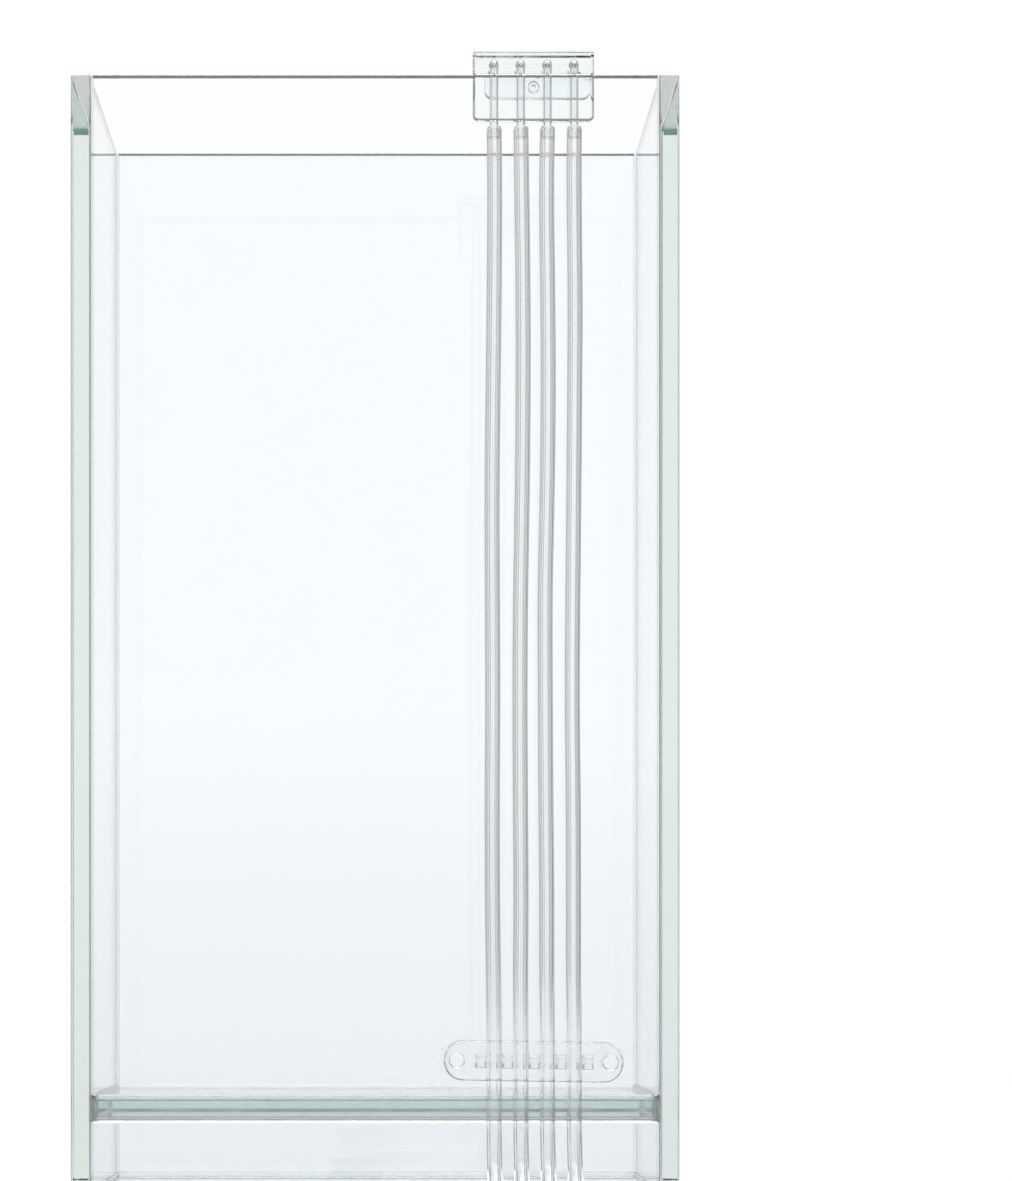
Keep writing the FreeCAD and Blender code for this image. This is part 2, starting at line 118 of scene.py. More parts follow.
def float_glass(settings):
    """Soda-lime float glass, cut, with polished sides and edges and a satin rim.

    The eye sees almost nothing through a pane and a soft green along its cut edge, because
    the tint is in the glass and only builds up over a long way. The rim is matte, and the
    grey line it shows is painted shade, laid on as grey strips. Painted shade darkens the
    glass a little low down, and dust takes a trace in patches.
    """
    material, tree = empty_material("float_glass")
    place = add_node(tree, "ShaderNodeTexCoord").outputs["Object"]
    height = add_node(tree, "ShaderNodeSeparateXYZ", links={"Vector": place}).outputs["Z"]
    # painted shade, darkest at the foot, fades out 200 mm up
    low_down = add_node(
        tree,
        "ShaderNodeMapRange",
        {"From Min": 200 * MM, "From Max": 0.0},
        {"Value": height},
    )
    low_shade = add_node(
        tree,
        "ShaderNodeMix",
        {"A": (*settings.glass_colour, 1), "B": (*settings.film_colour, 1)},
        {"Factor": low_down.outputs["Result"]},
        data_type="RGBA",
    )
    # dust lies in patches about 30 mm across
    dust = add_node(
        tree, "ShaderNodeTexNoise", {"Scale": 1 / (30 * MM), "Detail": 4.0}, {"Vector": place}
    )
    dusty = add_node(
        tree,
        "ShaderNodeMix",
        {"B": (*linear("#FEFEFF"), 1)},
        {"Factor": dust.outputs["Fac"], "A": low_shade.outputs["Result"]},
        data_type="RGBA",
        blend_type="MULTIPLY",
    )
    # the grinding stops at the rim's flat top
    rim = add_node(
        tree,
        "ShaderNodeMapRange",
        {
            "From Min": 449.8 * MM,
            "From Max": 449.95 * MM,
            "To Min": 0.0,
            "To Max": settings.rim_roughness,
        },
        {"Value": height},
    )
    glass = add_node(
        tree,
        "ShaderNodeBsdfPrincipled",
        {"IOR": 1.52, "Transmission Weight": 1.0},
        {"Base Color": dusty.outputs["Result"], "Roughness": rim.outputs["Result"]},
    )
    tint = add_node(
        tree,
        "ShaderNodeVolumeAbsorption",
        {"Color": (*settings.glass_tint, 1), "Density": settings.glass_density},
    )
    let_lamps_through(tree, glass, tint)
    return material


def ground_finish(name, dark, pale):
    """A matte sheet that paints the light and shade of a glass edge: flat, with fine streaks
    running one way.
    """
    material, tree = empty_material(name)
    place = add_node(tree, "ShaderNodeTexCoord").outputs["Object"]
    # streaks in the painted tone, 0.5 mm apart, and long
    drawn_out = add_node(
        tree, "ShaderNodeMapping", {"Scale": (0.05, 1.0, 1.0)}, {"Vector": place}
    )
    streaks = add_node(
        tree,
        "ShaderNodeTexNoise",
        {"Scale": 1 / (0.5 * MM), "Detail": 2.0},
        {"Vector": drawn_out.outputs["Vector"]},
    )
    colour = add_node(
        tree,
        "ShaderNodeMix",
        {"A": (*dark, 1), "B": (*pale, 1)},
        {"Factor": streaks.outputs["Fac"]},
        data_type="RGBA",
    )
    matte = add_node(
        tree,
        "ShaderNodeBsdfPrincipled",
        {"Roughness": 0.7, "IOR": 1.52},
        {"Base Color": colour.outputs["Result"]},
    )
    add_node(tree, "ShaderNodeOutputMaterial", links={"Surface": matte.outputs[0]})
    return material


def painted_edge_shade(settings):
    """Grey strips of painted shade, for the dark lines that the glass's edges show."""
    return ground_finish("painted_edge_shade", settings.ground_colour, linear("#B4B8B8"))


def painted_green_edge(settings):
    """Green strips of painted reflection, where the glass's deep green shows along a pane's
    length.
    """
    return ground_finish("painted_green_edge", settings.deep_colour, linear("#9CCBC2"))


def clear_silicone(settings):
    """Clear silicone sealant, tooled by hand while wet.

    It wets the glass, so a seam nearly vanishes, and only its beads catch the light, with
    slow ripples where the tool went.
    """
    material, tree = empty_material("clear_silicone")
    place = add_node(tree, "ShaderNodeTexCoord").outputs["Object"]
    # ripples of a hand-drawn tool, 6 mm apart
    ripple = add_node(
        tree, "ShaderNodeTexNoise", {"Scale": 1 / (6 * MM), "Detail": 2.0}, {"Vector": place}
    )
    cloud = add_node(
        tree,
        "ShaderNodeMix",
        {"A": (*settings.silicone_colour, 1), "B": (*linear("#FFFFFF"), 1)},
        {"Factor": ripple.outputs["Fac"]},
        data_type="RGBA",
    )
    satin = add_node(
        tree,
        "ShaderNodeMapRange",
        {"To Min": 0.0, "To Max": 0.12},
        {"Value": ripple.outputs["Fac"]},
    )
    sealant = add_node(
        tree,
        "ShaderNodeBsdfPrincipled",
        {"IOR": 1.5, "Transmission Weight": 1.0},
        {"Base Color": cloud.outputs["Result"], "Roughness": satin.outputs["Result"]},
    )
    let_lamps_through(tree, sealant)
    return material


def cast_acrylic(settings):
    """Clear acrylic, machined and flame polished, and a little scratched by handling.

    Flat faces are nearly invisible and rounded edges show dark, as they bend the light.
    """
    material, tree = empty_material("cast_acrylic")
    place = add_node(tree, "ShaderNodeTexCoord").outputs["Object"]
    # handling scratches, about 1 mm apart and drawn out upwards
    stretched = add_node(
        tree, "ShaderNodeMapping", {"Scale": (1.0, 1.0, 0.12)}, {"Vector": place}
    )
    scratch = add_node(
        tree,
        "ShaderNodeTexNoise",
        {"Scale": 1 / (1 * MM), "Detail": 2.0},
        {"Vector": stretched.outputs["Vector"]},
    )
    worn = add_node(
        tree,
        "ShaderNodeMapRange",
        {"From Min": 0.45, "From Max": 0.8, "To Min": 0.0, "To Max": 0.06},
        {"Value": scratch.outputs["Fac"]},
    )
    plastic = add_node(
        tree,
        "ShaderNodeBsdfPrincipled",
        {"Base Color": (*settings.acrylic_colour, 1), "IOR": 1.49, "Transmission Weight": 1.0},
        {"Roughness": worn.outputs["Result"]},
    )
    tint = add_node(
        tree,
        "ShaderNodeVolumeAbsorption",
        {"Color": (*linear("#9AA6A8"), 1), "Density": settings.acrylic_density},
    )
    let_lamps_through(tree, plastic, tint)
    return material


def silicone_hose(settings):
    """Extruded translucent silicone air hose.

    The wall is clear enough to see through and satin outside, with a cloudiness that
    changes slowly along the hose.
    """
    material, tree = empty_material("silicone_hose")
    place = add_node(tree, "ShaderNodeTexCoord").outputs["Object"]
    # cloudiness changes over about 25 mm
    cloud = add_node(
        tree, "ShaderNodeTexNoise", {"Scale": 1 / (25 * MM), "Detail": 3.0}, {"Vector": place}
    )
    colour = add_node(
        tree,
        "ShaderNodeMix",
        {"A": (*settings.hose_colour, 1), "B": (*linear("#FFFFFF"), 1)},
        {"Factor": cloud.outputs["Fac"]},
        data_type="RGBA",
    )
    satin = add_node(
        tree,
        "ShaderNodeMapRange",
        {"To Min": 0.03, "To Max": 0.09},
        {"Value": cloud.outputs["Fac"]},
    )
    hose = add_node(
        tree,
        "ShaderNodeBsdfPrincipled",
        {"IOR": 1.4, "Transmission Weight": settings.hose_clearness},
        {"Base Color": colour.outputs["Result"], "Roughness": satin.outputs["Result"]},
    )
    let_lamps_through(tree, hose)
    return material


def clear_vinyl(settings):
    """Clear plasticised vinyl, moulded, as suction cups are.

    It looks wet, and its skirt all but vanishes against the glass it is pressed on.
    """
    material, tree = empty_material("clear_vinyl")
    place = add_node(tree, "ShaderNodeTexCoord").outputs["Object"]
    # moulding haze in patches of 3 mm
    haze = add_node(
        tree, "ShaderNodeTexNoise", {"Scale": 1 / (3 * MM), "Detail": 2.0}, {"Vector": place}
    )
    satin = add_node(
        tree, "ShaderNodeMapRange", {"To Min": 0.0, "To Max": 0.02}, {"Value": haze.outputs["Fac"]}
    )
    vinyl = add_node(
        tree,
        "ShaderNodeBsdfPrincipled",
        {"Base Color": (*settings.vinyl_colour, 1), "IOR": 1.33, "Transmission Weight": 1.0},
        {"Roughness": satin.outputs["Result"]},
    )
    let_lamps_through(tree, vinyl)
    return material


def natural_nylon(settings):
    """Undyed nylon, moulded, as cable ties are: milky white, with light inside its edges."""
    material, tree = empty_material("natural_nylon")
    place = add_node(tree, "ShaderNodeTexCoord").outputs["Object"]
    # moulding texture, drawn 0.8 mm wide so that it shows
    grain = add_node(
        tree, "ShaderNodeTexNoise", {"Scale": 1 / (0.8 * MM), "Detail": 2.0}, {"Vector": place}
    )
    colour = add_node(
        tree,
        "ShaderNodeMix",
        {"A": (*settings.tie_colour, 1), "B": (*linear("#F3F2EC"), 1)},
        {"Factor": grain.outputs["Fac"]},
        data_type="RGBA",
    )
    bump = add_node(
        tree,
        "ShaderNodeBump",
        {"Strength": 0.25, "Distance": 0.05 * MM},
        {"Height": grain.outputs["Fac"]},
    )
    nylon = add_node(
        tree,
        "ShaderNodeBsdfPrincipled",
        {"Roughness": 0.42, "IOR": 1.53, "Subsurface Weight": 0.3, "Subsurface Scale": 1 * MM},
        {"Base Color": colour.outputs["Result"], "Normal": bump.outputs["Normal"]},
    )
    add_node(tree, "ShaderNodeOutputMaterial", links={"Surface": nylon.outputs[0]})
    return material


def matte_table(settings):
    """A matte white table top: even, with a barely visible mottle."""
    material, tree = empty_material("matte_table")
    place = add_node(tree, "ShaderNodeTexCoord").outputs["Object"]
    # mottle in patches of 60 mm
    mottle = add_node(
        tree, "ShaderNodeTexNoise", {"Scale": 1 / (60 * MM), "Detail": 3.0}, {"Vector": place}
    )
    colour = add_node(
        tree,
        "ShaderNodeMix",
        {"A": (*settings.floor_colour, 1), "B": (*linear("#F4F4F4"), 1)},
        {"Factor": mottle.outputs["Fac"]},
        data_type="RGBA",
    )
    paint = add_node(
        tree,
        "ShaderNodeBsdfPrincipled",
        {"Roughness": 0.7},
        {"Base Color": colour.outputs["Result"]},
    )
    add_node(tree, "ShaderNodeOutputMaterial", links={"Surface": paint.outputs[0]})
    return material


def finish_of(maker):
    """The material that maker makes, made once.

    The frame brings a material named after each slot, so no maker is named like a slot.
    """
    name = maker.__name__
    return bpy.data.materials.get(name) or maker(bpy.context.scene.aquarium_finish)


# ---- shapes ----------------------------------------------------------------------------


def new_piece(name, bm, material, body, replaced):
    """A bmesh as a finished piece, riding on a body in place of the CAD nodes it replaces."""
    mesh = bpy.data.meshes.new(name)
    bm.to_mesh(mesh)
    bm.free()
    mesh.materials.append(material)
    piece = bpy.data.objects.new(name, mesh)
    bpy.context.scene.collection.objects.link(piece)
    if body:
        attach(piece, body)
    if replaced:
        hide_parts(*replaced)
    return piece


def copy_of(node):
    """A CAD node's shape with its loose triangles joined and its flat faces made whole."""
    bm = bmesh.new()
    bm.from_mesh(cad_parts[node].data)
    bmesh.ops.remove_doubles(bm, verts=bm.verts, dist=0.0001 * MM)
    bmesh.ops.dissolve_limit(bm, angle_limit=math.radians(0.5), verts=bm.verts, edges=bm.edges)
    return bm


def swell(bm, bond):
    """Move every face outwards, so that the piece bonds to its neighbours with no air between."""
    bmesh.ops.recalc_face_normals(bm, faces=bm.faces)
    bm.normal_update()
    moves = [(v, v.normal * bond * v.calc_shell_factor()) for v in bm.verts]
    for vertex, move in moves:
        vertex.co += move


def round_edges(bm, radius, segments, chosen=lambda edge: True):
    """Round the sharp edges that chosen picks."""
    edges = [e for e in bm.edges if e.is_manifold and e.calc_face_angle() > SHARP and chosen(e)]
    bmesh.ops.bevel(
        bm,
        geom=edges,
        offset=radius,
        offset_type="OFFSET",
        segments=segments,
        profile=0.5,
        affect="EDGES",
        material=-1,
    )


def shade(bm):
    """Shade round faces smoothly, and keep the edge between a flat face and a round one."""
    bm.normal_update()
    # a rounding's faces are long slivers, under about 0.8 mm wide
    flat = {f for f in bm.faces if f.calc_area() > 0.4 * MM * f.calc_perimeter()}
    for face in bm.faces:
        face.smooth = face not in flat
    crease = math.radians(40)
    for edge in bm.edges:
        beside_flat = any(face in flat for face in edge.link_faces)
        edge.smooth = edge.is_manifold and not beside_flat and edge.calc_face_angle() < crease


def shade_tube(bm):
    """Shade a tube smoothly where its faces turn by less than 22 degrees.

    An elbow's 28 sides turn by 12.9 degrees each, so only its ends stay sharp. A hose has 14
    sides that turn by 25.7 degrees, so its long edges stay sharp too, and it looks faceted.
    """
    bm.normal_update()
    crease = math.radians(22)
    for face in bm.faces:
        face.smooth = True
    for edge in bm.edges:
        edge.smooth = edge.is_manifold and edge.calc_face_angle() < crease


def box_mesh(low, high):
    """A box between two corners."""
    bm = bmesh.new()
    bmesh.ops.create_cube(bm, size=1.0)
    bmesh.ops.scale(bm, vec=high - low, verts=bm.verts)
    bmesh.ops.translate(bm, vec=(low + high) / 2, verts=bm.verts)
    return bm


def hollow(bm, wall):
    """Give an open tube its wall, inwards."""
    bmesh.ops.remove_doubles(bm, verts=bm.verts, dist=0.001 * MM)
    bmesh.ops.recalc_face_normals(bm, faces=bm.faces)
    bmesh.ops.solidify(bm, geom=bm.faces, thickness=wall)
    bmesh.ops.recalc_face_normals(bm, faces=bm.faces)


# ---- settings --------------------------------------------------------------------------


class AquariumFinish(bpy.types.PropertyGroup):
    """Colours of the tank and its fittings"""

    glass_tint: bpy.props.FloatVectorProperty(
        name="Glass tint",
        description="Colour that a long way through the glass leaves",
        subtype="COLOR",
        default=linear("#62A488"),
        min=0,
        max=1,
    )
    glass_density: bpy.props.FloatProperty(
        name="Glass density",
        description="How fast the glass takes light, per metre",
        default=2.6,
        min=0,
    )
    glass_colour: bpy.props.FloatVectorProperty(
        name="Glass",
        description="What a clean face of the glass lets through",
        subtype="COLOR",
        default=linear("#FDFEFF"),
        min=0,
        max=1,
    )
    # painted shade: the glass lets through less at the foot of the tank
    film_colour: bpy.props.FloatVectorProperty(
        name="Low shade",
        description="What the glass lets through at the foot of the tank",
        subtype="COLOR",
        default=linear("#F4F5F7"),
        min=0,
        max=1,
    )
    rim_roughness: bpy.props.FloatProperty(
        name="Rim",
        description="Roughness of the ground rim",
        subtype="FACTOR",
        default=0.45,
        min=0,
        max=1,
    )
    # painted shade: the grey of the strips laid on edges that show dark lines
    ground_colour: bpy.props.FloatVectorProperty(
        name="Painted edge",
        description="Glass where it is ground matte",
        subtype="COLOR",
        default=linear("#A0A3A4"),
        min=0,
        max=1,
    )
    # painted reflection: the green of the strips laid where the glass's deep green shows
    deep_colour: bpy.props.FloatVectorProperty(
        name="Deep edge",
        description="Ground glass that shows the glass's deep green",
        subtype="COLOR",
        default=linear("#8CC0B6"),
        min=0,
        max=1,
    )
    silicone_colour: bpy.props.FloatVectorProperty(
        name="Silicone",
        description="Cloudy parts of the sealant",
        subtype="COLOR",
        default=linear("#EEF3F2"),
        min=0,
        max=1,
    )
    acrylic_colour: bpy.props.FloatVectorProperty(
        name="Acrylic",
        description="Saddle, elbows, screw and comb",
        subtype="COLOR",
        default=linear("#FBFDFD"),
        min=0,
        max=1,
    )
    acrylic_density: bpy.props.FloatProperty(
        name="Acrylic density",
        description="How fast the acrylic takes light, per metre",
        default=9.0,
        min=0,
    )
    hose_colour: bpy.props.FloatVectorProperty(
        name="Hose",
        description="Cloudy parts of the hoses",
        subtype="COLOR",
        default=linear("#FEFEFE"),
        min=0,
        max=1,
    )
    hose_clearness: bpy.props.FloatProperty(
        name="Hose clearness",
        description="Share of the light that goes through the hose's wall",
        subtype="FACTOR",
        default=0.99,
        min=0,
        max=1,
    )
    vinyl_colour: bpy.props.FloatVectorProperty(
        name="Suction cups",
        description="Vinyl of the suction cups",
        subtype="COLOR",
        default=linear("#FEFFFF"),
        min=0,
        max=1,
    )
    tie_colour: bpy.props.FloatVectorProperty(
        name="Tie",
        description="Nylon of the tie round the coil",
        subtype="COLOR",
        default=linear("#E4E2DA"),
        min=0,
        max=1,
    )
    floor_colour: bpy.props.FloatVectorProperty(
        name="Table",
        description="Darker patches of the table",
        subtype="COLOR",
        default=linear("#EFEFEF"),
        min=0,
        max=1,
    )


class AquariumSizes(bpy.types.PropertyGroup):
    """Details that are finer than the frame's"""

    pane_edge: bpy.props.FloatProperty(
        name="Pane edge",
        description="Radius of the polished edges of the panes",
        subtype="DISTANCE",
        unit="LENGTH",
        default=ARRIS,
        min=0,
        precision=5,
    )
    seam_bond: bpy.props.FloatProperty(
        name="Seam bond",
        description="How far the sealant sinks into the glass beside it",
        subtype="DISTANCE",
        unit="LENGTH",
        default=0.02 * MM,
        min=0,
        precision=6,
    )
    seam_recess: bpy.props.FloatProperty(
        name="Seam recess",
        description="Depth of the groove left outside each upright seam",
        subtype="DISTANCE",
        unit="LENGTH",
        default=0.35 * MM,
        min=0,
        precision=5,
    )
    saddle_edge: bpy.props.FloatProperty(
        name="Saddle edge",
        description="Radius of the saddle's outer edges",
        subtype="DISTANCE",
        unit="LENGTH",
        default=1.35 * MM,
        min=0,
        precision=5,
    )
    comb_edge: bpy.props.FloatProperty(
        name="Comb edge",
        description="Radius of the comb's edges",
        subtype="DISTANCE",
        unit="LENGTH",
        default=1.05 * MM,
        min=0,
        precision=5,
    )
    hose_wall: bpy.props.FloatProperty(
        name="Hose wall",
        description="Thickness of the hoses' wall",
        subtype="DISTANCE",
        unit="LENGTH",
        default=1.4 * MM,
        min=0.1 * MM,
        precision=5,
    )
    hose_sway: bpy.props.FloatProperty(
        name="Hose sway",
        description="How much of the hoses' own slow sway to either side shows",
        subtype="FACTOR",
        default=1.0,
        min=0,
        max=1,
    )


class AquariumStage(bpy.types.PropertyGroup):
    """Light and camera"""

    back_light: bpy.props.FloatProperty(
        name="Background",
        description="Brightness of the white background",
        default=1.03,
        min=0,
    )
    front_light: bpy.props.FloatProperty(
        name="Front card",
        description="Brightness of the white card that faces the tank",
        default=0.95,
        min=0,
    )
    side_light: bpy.props.FloatProperty(
        name="Sides",
        description="Brightness of the room at both sides",
        default=0.5,
        min=0,
    )
    ceiling_light: bpy.props.FloatProperty(
        name="Ceiling",
        description="Brightness of the room overhead",
        default=0.22,
        min=0,
    )
    top_lamp: bpy.props.FloatProperty(
        name="Top lamp",
        description="Strength of the wide, soft light from overhead",
        default=2.75,
        min=0,
    )
    focal_length: bpy.props.FloatProperty(
        name="Focal length",
        description="Lens, on a sensor 36 mm long",
        default=87.8,
        min=1,
    )


# ---- tank ------------------------------------------------------------------------------


class AQUARIUM_OT_panes(bpy.types.Operator):
    """Cut the six glass panes and polish their edges round"""

    bl_idname = "aquarium.panes"
    bl_label = "Glass panes"

    def execute(self, context):
        sizes = context.scene.aquarium_sizes
        for node, name in PANES.items():
            low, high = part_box(node)
            bm = box_mesh(low, high)

            def polished(edge, square_ends=name in ("pane_front", "pane_back")):
                # the front and back panes stay square where they meet the side panes
                return not square_ends or abs(edge.verts[0].co.x - edge.verts[1].co.x) > 1 * MM

            round_edges(bm, sizes.pane_edge, 4, polished)
            shade(bm)
            new_piece(name, bm, finish_of(float_glass), "tank", [node])
        return {"FINISHED"}


class AQUARIUM_OT_ground_edges(bpy.types.Operator):
    """Lay grey painted shade on the rims and shelf face, and painted green on far edges and shelf
    ends
    """

    bl_idname = "aquarium.ground_edges"
    bl_label = "Painted edges"

    def execute(self, context):
        edge = context.scene.aquarium_sizes.pane_edge
        skin = 0.03 * MM  # thickness of a painted layer
        drop = 2.3 * edge  # how far the side panes' strips reach down
        line = 0.4 * edge  # height of the shelf's two grey lines of painted shade
        rear_line = 0.8 * edge  # height of the painted green line at its rear
        block = 2 * edge  # width of the painted green blocks at its ends
        # grey strips are painted shade, green strips painted reflection of the glass's deep green
        grey, green = finish_of(painted_edge_shade), finish_of(painted_green_edge)
        strips = []
        # painted shade: grey lines along the front and back rims
        for side in ("front", "back"):
            low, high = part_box(f"{side}_wall")
            near = (low.x, low.y + edge, high.z - skin)
            far = (high.x, high.y - edge, high.z + skin)
            strips.append((f"painted_shade_rim_{side}", near, far, grey))
        # painted reflection: green along the side panes' rear top edges
        for side in ("left", "right"):
            low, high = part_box(f"{side}_wall")
            near = (low.x + edge, high.y - edge - skin, high.z - drop)
            far = (high.x - edge, high.y - edge, high.z - skin)
            strips.append((f"painted_green_top_{side}", near, far, green))
        # on the shelf: two grey lines of painted shade on its face, a painted green line at its
        # rear and painted green blocks at its ends
        low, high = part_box("shelf_plate")
        face = low.y + edge
        for name, foot, top in (
            ("painted_shade_shelf_low", low.z + skin, low.z + line),
            ("painted_shade_shelf_high", high.z - line, high.z - skin),
        ):
            near, far = (low.x + edge, face - skin, foot), (high.x - edge, face, top)
            strips.append((name, near, far, grey))
        near = (low.x + edge, high.y - edge, low.z + skin)
        far = (high.x - edge, high.y - edge + skin, low.z + rear_line)
        strips.append(("painted_green_shelf_rear", near, far, green))
        for name, start, end in (
            ("painted_green_shelf_left", low.x + skin, low.x + block),
            ("painted_green_shelf_right", high.x - block, high.x - skin),
        ):
            near, far = (start, face - skin, low.z + edge), (end, face, high.z - edge)
            strips.append((name, near, far, green))
        for name, near, far, finish in strips:
            new_piece(name, box_mesh(Vector(near), Vector(far)), finish, "tank", [])
        return {"FINISHED"}


class AQUARIUM_OT_corner_seams(bpy.types.Operator):
    """Fill the upright joints and their bevels between the walls with sealant"""

    bl_idname = "aquarium.corner_seams"
    bl_label = "Corner seams"

    def execute(self, context):
        sizes = context.scene.aquarium_sizes
        for end, front_to_back in (("front", -1), ("back", 1)):
            for side, left_to_right in (("left", -1), ("right", 1)):
                node = f"corner_seam_{end}_{side}"
                low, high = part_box(node)
                wide = sorted((abs(low.x), abs(high.x)))
                deep = sorted((abs(low.y), abs(high.y)))
                filled = ARRIS - sizes.seam_recess
                # the seam's section, from its outer corner round
                outline = (
                    (wide[1] + filled, deep[1] + filled),
                    (wide[0], deep[1] + filled),
                    (wide[0], deep[0] - ARRIS),
                    (wide[1], deep[0] - ARRIS),
                    (wide[1], deep[1]),
                )
                bm = bmesh.new()
                corners = [
                    bm.verts.new((x * left_to_right, y * front_to_back, low.z)) for x, y in outline
                ]
                foot = bm.faces.new(corners)
                grown = bmesh.ops.extrude_face_region(bm, geom=[foot])["geom"]
                head = [g for g in grown if isinstance(g, bmesh.types.BMVert)]
                bmesh.ops.translate(bm, vec=(0, 0, high.z - low.z), verts=head)
                swell(bm, sizes.seam_bond)
                name = f"sealant_{end}_{side}"
                new_piece(name, bm, finish_of(clear_silicone), "tank", [node])
        return {"FINISHED"}


class AQUARIUM_OT_beads(bpy.types.Operator):
    """Run the sealant under the walls and round the shelf, with its beads"""

    bl_idname = "aquarium.beads"
    bl_label = "Base and shelf beads"

    def execute(self, context):
        for node, name in (("base_seam", "sealant_base"), ("shelf_seam", "sealant_shelf")):
            bm = copy_of(node)
            swell(bm, context.scene.aquarium_sizes.seam_bond)
            new_piece(name, bm, finish_of(clear_silicone), "tank", [node])
        return {"FINISHED"}


# ---- saddle ----------------------------------------------------------------------------

SADDLE_WALL = 3 * MM
SADDLE_FOOT = 8 * MM  # height of the outer leg's end that takes in its round corners
ELBOW_BEND = 3.4 * MM  # radius of an elbow's bend at its axis
ELBOW_WALL = 0.5 * MM
ELBOW_SIDES = 28  # faces round an elbow
ELBOW_STEPS = 12  # faces along its bend
END_EDGE = 0.12 * MM  # rounding of the elbows' and the screw's ends


class AQUARIUM_OT_saddle(bpy.types.Operator):
    """Shape the saddle that hangs on the rim, with its rounded edges"""

    bl_idname = "aquarium.saddle"
    bl_label = "Saddle"

    def execute(self, context):
        low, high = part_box("rail_saddle")
        bm = copy_of("rail_saddle")
        near = 0.01 * MM

        def outline(edge):
            ends = [v.co for v in edge.verts]
            at_side = all(abs(c.x - low.x) < near or abs(c.x - high.x) < near for c in ends)
            at_foot = all(
                c.z < low.z + SADDLE_FOOT and c.y < low.y + SADDLE_WALL + near for c in ends
            )
            across = abs(ends[0].y - ends[1].y) > near
            return at_side or (at_foot and not across)

        round_edges(bm, context.scene.aquarium_sizes.saddle_edge, 5, outline)
        round_edges(bm, EASED, 3)
        shade(bm)
        finish = finish_of(cast_acrylic)
        new_piece("saddle", bm, finish, "saddle", ["rail_saddle"])
        return {"FINISHED"}


class AQUARIUM_OT_elbows(bpy.types.Operator):
    """Bend the four rigid elbows that lead the hoses over the rim"""

    bl_idname = "aquarium.elbows"
    bl_label = "Elbows"

    def execute(self, context):
        for number in HOSES:
            node = f"elbow_{number}"
            low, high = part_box(node)
            radius = (high.x - low.x) / 2
            x = (low.x + high.x) / 2
            y = low.y + radius
            level = high.z - radius
            bm = bmesh.new()
            bmesh.ops.create_circle(bm, segments=ELBOW_SIDES, radius=radius)
            bmesh.ops.translate(bm, vec=(x, y, low.z), verts=bm.verts)
            run = bmesh.ops.extrude_edge_only(bm, edges=bm.edges)["geom"]
            ring = [g for g in run if isinstance(g, bmesh.types.BMVert)]
            bmesh.ops.translate(bm, vec=(0, 0, level - ELBOW_BEND - low.z), verts=ring)
            edges = [e for e in bm.edges if all(v in set(ring) for v in e.verts)]
            turned = bmesh.ops.spin(
                bm,
                geom=ring + edges,
                cent=(x, y + ELBOW_BEND, level - ELBOW_BEND),
                axis=(-1, 0, 0),
                angle=math.pi / 2,
                steps=ELBOW_STEPS,
                use_merge=False,
            )["geom_last"]
            edges = [g for g in turned if isinstance(g, bmesh.types.BMEdge)]
            run = bmesh.ops.extrude_edge_only(bm, edges=edges)["geom"]
            ring = [g for g in run if isinstance(g, bmesh.types.BMVert)]
            bmesh.ops.translate(bm, vec=(0, high.y - y - ELBOW_BEND, 0), verts=ring)
            hollow(bm, ELBOW_WALL)
            round_edges(bm, END_EDGE, 2)
            shade_tube(bm)
            name = f"bent_tube_{number}"
            new_piece(name, bm, finish_of(cast_acrylic), "saddle", [node])
        return {"FINISHED"}


class AQUARIUM_OT_clamp_screw(bpy.types.Operator):
    """Shape the headless screw that clamps the saddle to the glass"""

    bl_idname = "aquarium.clamp_screw"
    bl_label = "Clamp screw"

    def execute(self, context):
        bm = copy_of("clamp_screw")
        round_edges(bm, END_EDGE, 2)
        shade(bm)
        finish = finish_of(cast_acrylic)
        new_piece("set_screw", bm, finish, "clamp", ["clamp_screw"])
        return {"FINISHED"}


# ---- comb ------------------------------------------------------------------------------

COMB_THICK = 2.2 * MM
COMB_WIDE = 16 * MM
COMB_BORDER = 1.2 * MM  # how far in from its outline an edge still counts as the outline
POST_ROUND = 1.6 * MM  # rounding of the posts' ends
COMB_EASED = 0.25 * MM  # rounding of its other edges
CUP_SIDES = 48  # faces round a cup
# a cup's section: radius and distance from the glass, in millimetres
CUP_SECTION = (
    (0.0, 0.03),
    (7.0, 0.03),
    (6.9, 0.12),
    (6.0, 0.3),
    (4.4, 0.6),
    (3.2, 0.9),
    (2.7, 1.3),
    (2.6, 1.7),
    (2.6, 4.4),
    (2.9, 4.45),
    (3.1, 4.65),
    (3.1, 4.95),
    (2.9, 5.2),
    (0.0, 5.2),
)


class AQUARIUM_OT_comb(bpy.types.Operator):
    """Shape the comb that keeps the hoses apart"""

    bl_idname = "aquarium.comb"
    bl_label = "Comb"

    def execute(self, context):
        low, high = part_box("comb_plate")
        plate_front = high.y - COMB_THICK - 0.2 * MM
        centre = (low + high) / 2
        straight = (high.x - low.x - COMB_WIDE) / 2
        bm = copy_of("comb_plate")

        def outline(edge):
            on_plate = all(v.co.y > plate_front for v in edge.verts)
            middle = (edge.verts[0].co + edge.verts[1].co) / 2
            along = max(abs(middle.x - centre.x) - straight, 0)
            out = math.hypot(along, middle.z - centre.z)
            return on_plate and out > COMB_WIDE / 2 - COMB_BORDER

        def post_end(edge):
            return all(v.co.y < low.y + 1 * MM for v in edge.verts)

        round_edges(bm, context.scene.aquarium_sizes.comb_edge, 4, outline)
        round_edges(bm, POST_ROUND, 5, post_end)
        round_edges(bm, COMB_EASED, 2)
        shade(bm)
        finish = finish_of(cast_acrylic)
        new_piece("hose_comb", bm, finish, "comb", ["comb_plate"])
        return {"FINISHED"}


